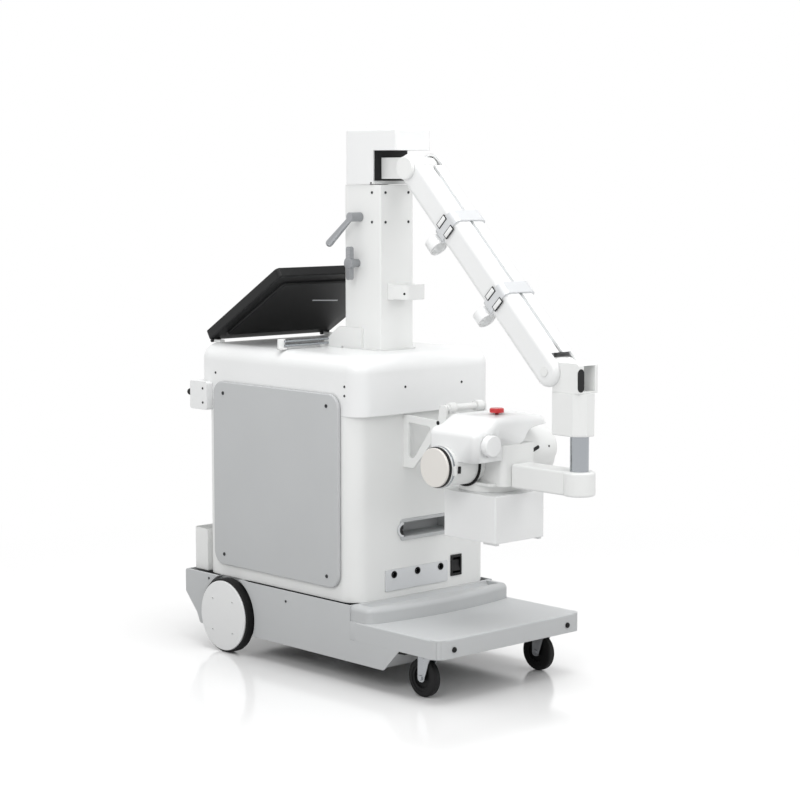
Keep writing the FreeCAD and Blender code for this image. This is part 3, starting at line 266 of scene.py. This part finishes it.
# Camera of the photograph
# It was fitted to straight edges and round parts, so it also serves to seat small fittings.
camera_data = bpy.data.cameras.new("camera")
camera_data.lens = 92.66
camera_data.sensor_width = 36.0
camera_data.clip_start = 0.1
camera_data.clip_end = 200.0
camera = bpy.data.objects.new("camera", camera_data)
camera.location = (-4.54293, -4.86273, 1.60175)
camera.rotation_euler = (math.radians(90 - 6.24), 0.0, math.radians(-42.82))
scene.collection.objects.link(camera)
scene.camera = camera
bpy.context.view_layer.update()


def sight(u, v):
    """Direction of the camera ray through a point of an 800 by 800 picture."""
    focal = 92.66 / 36.0 * 800
    local = Vector(((u - 400) / focal, (400 - v) / focal, -1.0))
    return (camera.matrix_world.to_3x3() @ local).normalized()


def hit(node, origin, direction):
    """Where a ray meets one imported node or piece: the point and the outward normal."""
    target = nodes[node] if node in nodes else bpy.data.objects[node]
    found, point, normal, _ = target.ray_cast(origin, direction)
    if not found:
        print("MISS", node, [round(c, 3) for c in origin], [round(c, 3) for c in direction])
        return None
    return point, normal if normal.dot(direction) < 0 else -normal


def seen(node, u, v):
    """Where the picture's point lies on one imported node."""
    return hit(node, camera.location, sight(u, v))


# Geometry nodes that repeat one small piece on many spots
# Each spot carries the way it faces and its size.
repeat_tree = bpy.data.node_groups.new("repeat_on_spots", "GeometryNodeTree")
for label, flow, kind in (("Geometry", "INPUT", "NodeSocketGeometry"), ("Piece", "INPUT", "NodeSocketObject"),
                          ("Finish", "INPUT", "NodeSocketMaterial"), ("Geometry", "OUTPUT", "NodeSocketGeometry")):
    repeat_tree.interface.new_socket(label, in_out=flow, socket_type=kind)
repeat_in = add(repeat_tree, "NodeGroupInput")
repeat_piece = add(repeat_tree, "GeometryNodeObjectInfo", {"Object": repeat_in.outputs["Piece"]})
repeat_facing = add(repeat_tree, "GeometryNodeInputNamedAttribute", {"Name": "facing"}, data_type="FLOAT_VECTOR")
repeat_size = add(repeat_tree, "GeometryNodeInputNamedAttribute", {"Name": "size"}, data_type="FLOAT")
repeat_turn = add(repeat_tree, "FunctionNodeAlignRotationToVector", {"Vector": repeat_facing.outputs["Attribute"]},
                  axis="Z")
repeat_copy = add(repeat_tree, "GeometryNodeInstanceOnPoints",
                  {"Points": repeat_in.outputs["Geometry"], "Instance": repeat_piece.outputs["Geometry"],
                   "Rotation": repeat_turn.outputs["Rotation"], "Scale": repeat_size.outputs["Attribute"]})
repeat_real = add(repeat_tree, "GeometryNodeRealizeInstances", {"Geometry": repeat_copy.outputs["Instances"]})
repeat_paint = add(repeat_tree, "GeometryNodeSetMaterial",
                   {"Geometry": repeat_real.outputs["Geometry"], "Material": repeat_in.outputs["Finish"]})
add(repeat_tree, "NodeGroupOutput", {"Geometry": repeat_paint.outputs["Geometry"]})


def repeat(name, shape, spots, slot, body):
    """Copies one small shape to every spot (point, facing, size) as a single finished piece."""
    source_mesh = bpy.data.meshes.new(name + "_source")
    bmesh.ops.recalc_face_normals(shape, faces=shape.faces)
    shape.to_mesh(source_mesh)
    source_mesh.shade_smooth()
    source_mesh.set_sharp_from_angle(angle=math.radians(30))
    source = bpy.data.objects.new(name + "_source", source_mesh)
    spot_mesh = bpy.data.meshes.new(name + "_spots")
    spot_mesh.from_pydata([s[0] for s in spots], [], [])
    facing = spot_mesh.attributes.new("facing", "FLOAT_VECTOR", "POINT")
    facing.data.foreach_set("vector", [c for s in spots for c in s[1]])
    size = spot_mesh.attributes.new("size", "FLOAT", "POINT")
    size.data.foreach_set("value", [s[2] for s in spots])
    carrier = bpy.data.objects.new(name + "_spots", spot_mesh)
    for helper in (source, carrier):
        scene.collection.objects.link(helper)
    modifier = carrier.modifiers.new("repeat", "NODES")
    modifier.node_group = repeat_tree
    values = {"Piece": source, "Finish": looks[slot]}
    for item in repeat_tree.interface.items_tree:
        if item.in_out == "INPUT" and item.name in values:
            modifier[item.identifier] = values[item.name]
    depsgraph = bpy.context.evaluated_depsgraph_get()
    mesh = bpy.data.meshes.new_from_object(carrier.evaluated_get(depsgraph), depsgraph=depsgraph)
    carrier.modifiers.remove(modifier)
    for helper in (source, carrier):
        bpy.data.objects.remove(helper)
    piece = bpy.data.objects.new(name, mesh)
    scene.collection.objects.link(piece)
    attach(piece, body)
    return piece


def screw_shape():
    """A low round screw head of unit radius with a six-sided socket, facing +Z."""
    shape = bmesh.new()
    bmesh.ops.create_cone(shape, cap_ends=True, segments=24, radius1=1.0, radius2=0.86, depth=0.36,
                          matrix=Matrix.Translation((0, 0, 0.12)))
    top = max(shape.faces, key=lambda f: f.calc_center_median().z)
    bmesh.ops.inset_individual(shape, faces=[top], thickness=0.34, depth=0.02)
    bmesh.ops.inset_individual(shape, faces=[top], thickness=0.06, depth=-0.22)
    return shape


def both_sides(spots):
    """The same spots on the left and on the right."""
    return spots + [(Vector((-p.x, p.y, p.z)), Vector((-n.x, n.y, n.z)), s) for p, n, s in spots]


def spots_of(places, size):
    """Spots from places that may have missed."""
    return [(p[0], p[1], size) for p in places if p]


# Screws of the top cover
# Two rows hold the moulded cover to the cabinet: side screws and two in the front nose.
right = Vector((1, 0, 0))
back = Vector((0, 1, 0))
cover_spots = both_sides(spots_of([hit("top_cover", at(-500, y, z), right)
                                   for y, z in ((702, 939), (44, 940), (44, 911))], 4.4 * mm))
cover_spots += spots_of([hit("top_cover", at(x, -600, z), back) for x, z in ((-98, 931), (153, 930))], 4.4 * mm)
repeat("cover_screws", screw_shape(), cover_spots, "dark_steel", "base")

# Screws of the base skirt and of the handle brackets
# Low heads on the side walls; the brackets have two each.
skirt_spots = both_sides(spots_of([hit("base_skirt", at(-700, y, z), right)
                                   for y, z in ((316, 216), (726, 234))], 4.6 * mm))
skirt_spots += both_sides(spots_of([hit("handle_brackets", at(-700, y, z), right)
                                    for y, z in ((742, 884), (742, 836))], 4.4 * mm))
repeat("skirt_screws", screw_shape(), skirt_spots, "dark_steel", "base")

# Screws of the turret cap
# Two low on its left side and one high on the front face, repeated on the right.
cap_spots = both_sides(spots_of([seen("turret_cap", 346, 184), seen("turret_cap", 371, 183),
                                 seen("turret_cap", 416.5, 155.5)], 3.6 * mm))
repeat("cap_screws", screw_shape(), cap_spots, "dark_steel", "turret")

# Pins in the three round connectors
# Seven pins stand in each socket; they take the pale aluminium finish.
pin = bmesh.new()
bmesh.ops.create_cone(pin, cap_ends=True, segments=12, radius1=1.0, radius2=0.8, depth=5.0)
pin_spots = []
for x in (-131.0, -28.0, 76.0):
    for step in range(7):
        reach = 0.0 if step == 6 else 4.6
        turn = math.radians(60 * step)
        spot = at(x + reach * math.cos(turn), 7.5, 326 + reach * math.sin(turn))
        pin_spots.append((spot, Vector((0, -1, 0)), 0.9 * mm))
repeat("socket_pins", pin, pin_spots, "clip_aluminium", "base")

# Cooling slots of the rear wall
# Two blocks of black oblongs above the rear bin stand for the generator's cooling slots, as painted shade of the
# openings.
slot_shape = bmesh.new()
put_oblong(slot_shape, Vector((-22, 0, 0)), Vector((22, 0, 0)), Vector((0, 0, 1)), 2.6, 0.6)
slot_spots = []
for side in (-1, 1):
    for step in range(9):
        slot_spots.append((at(side * 120, 767, 640 + 14 * step), Vector((0, 1, 0)), mm))
repeat("rear_slots", slot_shape, slot_spots, "black_plastic", "base")

# Grip at the left end of the detector slot
# A pale C-shaped pull whose inside is a black plate, painted shade of the grip's hollow; it shows where the flat
# detector is taken out.
pull = bmesh.new()
put_arc(pull, at(-92, -4.2, 467), 17 * mm, 24 * mm, 90, 270, 4.5 * mm)
add_mesh("detector_pull", pull, "clip_aluminium", "base")
# Black half disc inside the pull: painted shade of its hollow.
pull_shade = bmesh.new()
put_arc(pull_shade, at(-92, -4.4, 467), 3 * mm, 16.9 * mm, 90, 270, 1.2 * mm)
add_mesh("detector_pull_eye", pull_shade, "black_plastic", "base")

# Hood of the tube head
# The moulded hood sweeps down on the left and opens in a saddle over the right-hand body.
hood_mesh = nodes["head_cover"].data.copy()
hood = bpy.data.objects.new("head_hood", hood_mesh)
scene.collection.objects.link(hood)
weld = bmesh.new()
weld.from_mesh(hood_mesh)
bmesh.ops.remove_doubles(weld, verts=weld.verts, dist=1e-5)
weld.to_mesh(hood_mesh)
weld.free()
saddle = [(-60, 700), (-57, 745), (-48, 757), (-34, 764), (-14, 770), (8, 777), (24, 785), (34, 796), (40, 808),
          (50, 818), (70, 825), (100, 830), (160, 834), (160, 700)]
cutter_shape = bmesh.new()
front_loop = [cutter_shape.verts.new((x * mm, -0.560, z * mm)) for x, z in saddle]
rear_loop = [cutter_shape.verts.new((x * mm, -0.200, z * mm)) for x, z in saddle]
cutter_shape.faces.new(front_loop)
cutter_shape.faces.new(list(reversed(rear_loop)))
for i in range(len(saddle)):
    j = (i + 1) % len(saddle)
    cutter_shape.faces.new((front_loop[i], rear_loop[i], rear_loop[j], front_loop[j]))
bmesh.ops.recalc_face_normals(cutter_shape, faces=cutter_shape.faces)
cutter_mesh = bpy.data.meshes.new("saddle_cutter")
cutter_shape.to_mesh(cutter_mesh)
cutter_shape.free()
cutter = bpy.data.objects.new("saddle_cutter", cutter_mesh)
scene.collection.objects.link(cutter)
carve = hood.modifiers.new("saddle", "BOOLEAN")
carve.operation = "DIFFERENCE"
carve.object = cutter
depsgraph = bpy.context.evaluated_depsgraph_get()
carved = bpy.data.meshes.new_from_object(hood.evaluated_get(depsgraph), depsgraph=depsgraph)
hood.modifiers.remove(carve)
bpy.data.objects.remove(cutter)
hood.data = carved
carved.materials.clear()
carved.materials.append(looks["white_moulding"])
carved.shade_smooth()
carved.set_sharp_from_angle(angle=math.radians(32))
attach(hood, "head")
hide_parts("head_cover")

# Right-hand body of the head
# A rounded casting fills the saddle and runs out to the right over the tube.
body_shape = bmesh.new()
rings = []
for x, swell in ((-62, 0.90), (-58, 1.0), (60, 1.0), (140, 0.99), (190, 0.95), (222, 0.87), (240, 0.74), (249, 0.50)):
    ring = []
    for step in range(48):
        turn = math.radians(7.5 * step)
        flat = 0.9 if math.sin(turn) < 0 else 1.0
        ring.append(body_shape.verts.new((x * mm, -0.378 - math.cos(turn) * 0.080 * swell,
                                          0.738 + math.sin(turn) * 0.080 * swell * flat)))
    rings.append(ring)
for one, two in zip(rings, rings[1:]):
    for i in range(48):
        j = (i + 1) % 48
        body_shape.faces.new((one[i], one[j], two[j], two[i]))
body_shape.faces.new(rings[0])
body_shape.faces.new(list(reversed(rings[-1])))
add_mesh("head_right_body", body_shape, "white_casting", "head", sharp=50)

# Painted shade of the ports in the right-hand body
# A slanted oblong port and a second one near the end are black plates, painted shade of their openings; a cover screw
# sits beside them.
port_shades = bmesh.new()
for (u0, v0), (u1, v1) in (((532.5, 450.5), (538, 447)), ((553, 464), (556, 459.5))):
    first, second = seen("head_right_body", u0, v0), seen("head_right_body", u1, v1)
    if first and second:
        put_oblong(port_shades, first[0], second[0], first[1] + second[1], 5.5 * mm, 1.2 * mm)
add_mesh("tube_ports", port_shades, "black_plastic", "head")
repeat("tube_screws", screw_shape(), spots_of([seen("head_right_body", 549, 446)], 3.8 * mm), "dark_steel", "head")

# Clamp ring, latch and shadow ring of the tube
# A chrome ring with a black latch sits behind the end cap; a black ring where the tube meets the casting is painted
# shadow of that joint.
ring_shape = bmesh.new()
put_ring(ring_shape, at(-208, -291, 712), 63 * mm, 65.6 * mm, 8 * mm)
add_mesh("tube_clamp_ring", ring_shape, "chrome", "head")
# Black ring at the tube's joint with the casting: painted shadow.
shadow_ring_shape = bmesh.new()
put_ring(shadow_ring_shape, at(-99, -291, 712), 60 * mm, 70 * mm, 4 * mm)
add_mesh("tube_seal", shadow_ring_shape, "black_rubber", "head")
latch = bmesh.new()
spot = seen("tube_housing", 459, 470)
if spot:
    put_block(latch, spot[0] + spot[1] * 2 * mm, Vector((9 * mm, 22 * mm, 6 * mm)), turn_to(spot[1]), edge=1.0 * mm)
add_mesh("tube_latch", latch, "black_plastic", "head")

# Painted shade in the turret's notch
# Behind the shoulder block the cap is open; a black plate stands in for the shade inside it.
notch_shade = bmesh.new()
low, high = at(-71, 152.5, 1583), at(71, 155.5, 1679)
put_block(notch_shade, (low + high) / 2, high - low)
add_mesh("notch_lining", notch_shade, "black_plastic", "turret")

# Black band of the base's front arch
# A black band bends along the arch from the skirt's foot up to the underside of the deck.
arch_line = [(-165, 80), (-158, 97), (-163, 110), (-175, 121), (-195, 131), (-222, 137), (-251, 139)]
arch_band = bmesh.new()
for side in (-1, 1):
    loops = []
    for i, (y, z) in enumerate(arch_line):
        before = arch_line[max(0, i - 1)]
        after = arch_line[min(len(arch_line) - 1, i + 1)]
        along = Vector((0, after[0] - before[0], after[1] - before[1])).normalized()
        out = Vector((0, along.z, -along.y)) * 3.5 * mm
        loops.append([arch_band.verts.new(at(x, y, z) + out * way)
                      for x, way in ((side * 284, 1), (side * 317, 1), (side * 317, -1), (side * 284, -1))])
    for one, two in zip(loops, loops[1:]):
        for i in range(4):
            j = (i + 1) % 4
            arch_band.faces.new((one[i], one[j], two[j], two[i]))
    arch_band.faces.new(loops[0])
    arch_band.faces.new(list(reversed(loops[-1])))
add_mesh("arch_trim", arch_band, "black_rubber", "base", sharp=50)

# Corner fills of the deck
# Round infills stand behind the deck's front corners and square ones close its joint with the skirt.
fills = bmesh.new()
for side in (-1, 1):
    centre = at(side * 290.6, -376, 172)
    put_rod(fills, centre + Vector((0, 0, -0.0295)), centre + Vector((0, 0, 0.0295)), 27.9 * mm, segments=96)
    low, high = at(min(side * 288, side * 318.5), -30, 142.5), at(max(side * 288, side * 318.5), 2, 201.6)
    put_block(fills, (low + high) / 2, high - low, edge=0.3 * mm)
add_mesh("deck_corner_fills", fills, "grey_enamel", "base")

# Support bars below the monitor
# A small pale bracket on the cover holds two bars that run in to the column.
bracket = bmesh.new()
low, high = at(-292, 378, 1035.5), at(-262, 384, 1070)
put_block(bracket, (low + high) / 2, high - low, edge=1.0 * mm)
low, high = at(-292, 370, 1035.5), at(-262, 384, 1039)
put_block(bracket, (low + high) / 2, high - low, edge=1.0 * mm)
add_mesh("bar_bracket", bracket, "white_enamel", "base")
bars = bmesh.new()
for z in (1048.0, 1062.0):
    put_rod(bars, at(-268, 374, z), at(-66, 374, z), 4.0 * mm)
add_mesh("monitor_bars", bars, "chrome", "base")

# Sockets of the wheel cover screws
# Each screw head that the hub carries gets its dark hexagon.
for side, hub in (("left", "wheel_hub_left"), ("right", "wheel_hub_right")):
    sign = -1 if side == "left" else 1
    centre = Vector((0, 0.5466, 0.125))
    found = {}
    for v in nodes[hub].data.vertices:
        if abs(v.co.x) > 0.3468:
            key = round(math.degrees(math.atan2(v.co.z - centre.z, v.co.y - centre.y)) / 15)
            found.setdefault(key, []).append(v.co)
    dots = bmesh.new()
    for points in found.values():
        middle = sum(points, Vector()) / len(points)
        if (middle - centre).yz.length > 0.02:
            put_rod(dots, Vector((sign * 0.3468, middle.y, middle.z)), Vector((sign * 0.34728, middle.y, middle.z)),
                    3.0 * mm, segments=6)
    if len(dots.verts):
        add_mesh("hub_sockets_" + side, dots, "dark_steel", "wheel_" + side)
    else:
        dots.free()

# Cross lines of the collimator window
# The printed cross marks the centre of the light field.
cross = bmesh.new()
put_block(cross, at(0, -305, 477.6), Vector((70 * mm, 0.8 * mm, 0.3 * mm)))
put_block(cross, at(0, -305, 477.6), Vector((0.8 * mm, 70 * mm, 0.3 * mm)))
add_mesh("window_cross", cross, "black_plastic", "collimator")

# Painted shade in the round holes of the dock cradle and the cable holder
# Black discs sit in the bores as painted shade of the holes.
bore_shades = bmesh.new()
for node, u, v, radius in (("dock_cradle", 438, 423, 7.0), ("cable_holder", 404.4, 294, 4.0)):
    spot = seen(node, u, v)
    if spot:
        put_rod(bore_shades, spot[0] - spot[1] * 1.5 * mm, spot[0] + spot[1] * 0.5 * mm, radius * mm)
add_mesh("bore_plugs", bore_shades, "black_plastic", "base")

# Pads of the cable clips
# Each band carries a white pad in a dark frame on its left side.
clip = nodes["cable_clip_bands"].data
slope = (at(0, -591, 1016) - at(0, 13, 1623)).normalized()
reaches = sorted((v.co - at(0, 13, 1623)).dot(slope) for v in clip.vertices)
groups = [[reaches[0]]]
for value in reaches[1:]:
    if value - groups[-1][-1] > 30 * mm:
        groups.append([])
    groups[-1].append(value)
clip_turn = Matrix((right, slope.cross(right), slope)).transposed().to_4x4()
frames, pads = bmesh.new(), bmesh.new()
for group in groups:
    centre = at(0, 13, 1623) + slope * (group[0] + group[-1]) / 2 + Vector((-67 * mm, 0, 0))
    put_block(frames, centre, Vector((3.0 * mm, 46 * mm, 20 * mm)), clip_turn, edge=0.9 * mm)
    put_block(pads, centre - right * 1.2 * mm, Vector((3.0 * mm, 40 * mm, 14 * mm)), clip_turn, edge=0.9 * mm)
add_mesh("clip_frames", frames, "black_plastic", "arm")
add_mesh("clip_pads", pads, "white_moulding", "arm")

# Painted shade in the elbow head's hollow
# The open side of the casting is drawn as a black upright oblong, painted shade of its inside.
hollow_shade = bmesh.new()
upper, lower = seen("elbow_head", 581, 374), seen("elbow_head", 581, 388)
if upper and lower:
    put_oblong(hollow_shade, upper[0], lower[0], upper[1] + lower[1], 14 * mm, 0.7 * mm)
add_mesh("elbow_hollow", hollow_shade, "black_plastic", "post")

# Cable slot on the monitor's back
# One pale line low on the case.
fittings = bmesh.new()
first, second = seen("monitor_case", 313, 300.2), seen("monitor_case", 337, 300.2)
if first and second:
    put_oblong(fittings, first[0], second[0], first[1] + second[1], 3.2 * mm, 0.8 * mm)
add_mesh("monitor_fittings", fittings, "clip_aluminium", "monitor")

# Floor
# A pale, faintly glossy studio floor that keeps the soft shadow and a weak reflection.
floor_mesh = bpy.data.meshes.new("floor")
reach = 60.0
floor_mesh.from_pydata([(-reach, -reach, 0), (reach, -reach, 0), (reach, reach, 0), (-reach, reach, 0)], [],
                       [(0, 1, 2, 3)])
floor_look = finish_of("look_floor", "#f6f6f6", 0.13, grain=30, depth=0.0, drift=0.004, rough_drift=0.01)
floor_tree = floor_look.node_tree
floor_place = add(floor_tree, "ShaderNodeTexCoord")
floor_away = add(floor_tree, "ShaderNodeVectorMath", {0: floor_place.outputs["Object"]}, operation="LENGTH")
floor_fade = add(floor_tree, "ShaderNodeMapRange", {"Value": floor_away.outputs["Value"], "From Min": 1.1,
                                                    "From Max": 3.2}, interpolation_type="SMOOTHSTEP")
floor_glow = add(floor_tree, "ShaderNodeEmission", {"Color": (1.0, 1.0, 1.0, 1.0), "Strength": 1.0})
floor_path = add(floor_tree, "ShaderNodeLightPath")
floor_tone = add(floor_tree, "ShaderNodeMix", {0: floor_path.outputs["Is Diffuse Ray"], 6: linear("#f6f6f6"),
                                               7: linear("#b0b0b0")}, data_type="RGBA")
floor_tree.links.new(floor_tone.outputs[2], floor_tree.nodes["Principled BSDF"].inputs["Base Color"])
floor_mix = add(floor_tree, "ShaderNodeMixShader", {0: floor_fade.outputs["Result"],
                                                    1: floor_tree.nodes["Principled BSDF"].outputs["BSDF"],
                                                    2: floor_glow.outputs["Emission"]})
floor_tree.links.new(floor_mix.outputs["Shader"], floor_tree.nodes["Material Output"].inputs["Surface"])
floor_mesh.materials.append(floor_look)
floor = bpy.data.objects.new("floor", floor_mesh)
floor.location.z = -0.0005
scene.collection.objects.link(floor)

# Background and soft light from all around
# The camera, mirrors and clear plastic see white; everything else gets a gentler dome.
world = bpy.data.worlds.new("studio")
scene.world = world
world.use_nodes = True
sky = world.node_tree
dome = sky.nodes["Background"]
path = add(sky, "ShaderNodeLightPath")
clear = add(sky, "ShaderNodeMath", {0: path.outputs["Is Glossy Ray"], 1: path.outputs["Is Transmission Ray"]},
            operation="MAXIMUM")
looking = add(sky, "ShaderNodeMath", {0: path.outputs["Is Camera Ray"], 1: clear.outputs[0]}, operation="MAXIMUM")
aim = add(sky, "ShaderNodeTexCoord")
height_part = add(sky, "ShaderNodeSeparateXYZ", {"Vector": aim.outputs["Generated"]})
soft = add(sky, "ShaderNodeMapRange", {"Value": height_part.outputs["Z"], "From Min": 0.0, "From Max": 1.0,
                                       "To Min": 0.55, "To Max": 0.95})
strength = add(sky, "ShaderNodeMix", {0: looking.outputs[0], 2: soft.outputs["Result"], 3: 1.0}, data_type="FLOAT")
dome.inputs["Color"].default_value = (1.0, 1.0, 1.0, 1.0)
sky.links.new(strength.outputs[0], dome.inputs["Strength"])

# Studio lamps
# A broad key from the upper left front, a fill from the right and a top light.
for name, place, size, power in (("key", (-4.2, -2.2, 3.4), 2.4, 60.0), ("fill", (1.6, -4.8, 3.2), 2.6, 40.0),
                                 ("top", (-0.2, -0.6, 4.6), 2.6, 80.0)):
    lamp = bpy.data.lights.new(name, "AREA")
    lamp.shape = "DISK"
    lamp.size = size
    lamp.energy = power
    holder = bpy.data.objects.new(name, lamp)
    holder.location = place
    holder.rotation_euler = (Vector((0, 0, 0.8)) - Vector(place)).to_track_quat("-Z", "Y").to_euler()
    scene.collection.objects.link(holder)

scene.view_settings.view_transform = "Standard"
scene.view_settings.look = "None"
